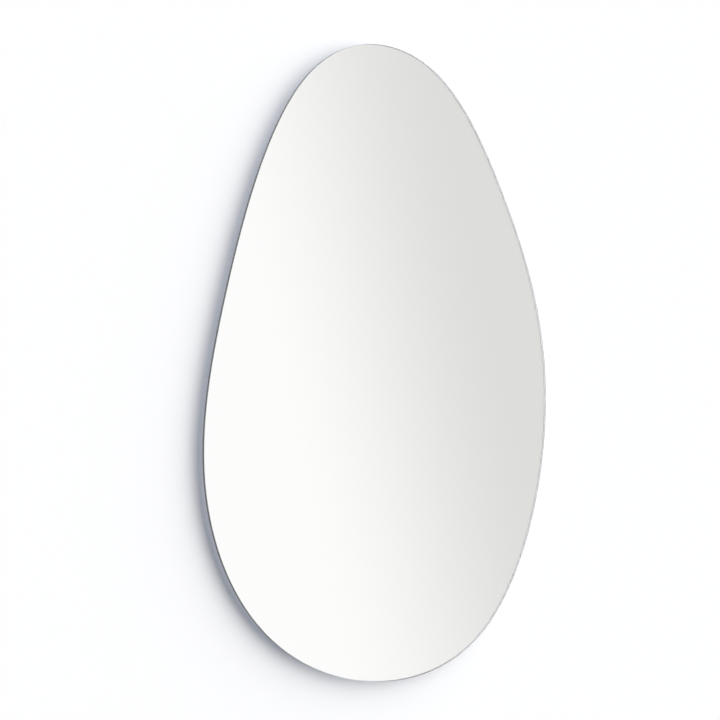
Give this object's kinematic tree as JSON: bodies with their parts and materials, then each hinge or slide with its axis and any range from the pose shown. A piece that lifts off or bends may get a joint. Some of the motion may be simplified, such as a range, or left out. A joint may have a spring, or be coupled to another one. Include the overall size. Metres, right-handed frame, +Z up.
{
  "type": "irregular shaped mirror",
  "caption": "Frameless wall mirror of asymmetric pebble outline: polished glass on a hidden backing board that hangs on interlocking aluminium rails.",
  "frame": {"origin": "on the wall, midway between the wall rail's fixing holes and straight above the middle of the glass's weight", "axes": "+Z up, +Y into the wall, and the mirror faces -Y"},
  "size_m": [0.6999, 0.0217, 1],
  "materials": {
    "glass": "clear float glass with a flat polished edge and small arrises",
    "silvering": "silver under grey protective back paint",
    "film": "thin woven-look anti-shatter film",
    "board": "fibreboard sealed with dark matt paint",
    "tape": "closed-cell foam tape",
    "adhesive": "cured elastic mirror adhesive",
    "rail": "mill-finish extrusion",
    "screw": "zinc plated",
    "spacer": "moulded, fine matt",
    "pad": "pressed felt"
  },
  "bodies": {
    "rail_on_wall": {"wall_rail": "rail"},
    "mirror": {"mirror_glass": "glass", "silver_coating": "silvering", "safety_film": "film", "backing_board": "board", "foam_tape_strip_1": "tape", "foam_tape_strip_2": "tape", "foam_tape_strip_3": "tape", "foam_tape_strip_4": "tape", "foam_tape_strip_5": "tape", "adhesive_bead_1": "adhesive", "adhesive_bead_2": "adhesive", "adhesive_bead_3": "adhesive", "adhesive_bead_4": "adhesive", "mirror_rail": "rail", "mirror_rail_screws": "screw", "lower_left_spacer": "spacer", "lower_right_spacer": "spacer", "lower_left_pad": "pad", "lower_right_pad": "pad", "spacer_screws": "screw"}
  },
  "joints": [
    {"name": "lift_off", "type": "slide", "parent": "rail_on_wall", "child": "mirror", "axis": [0, 0, 1], "range_m": [0, 0.014]}
  ]
}
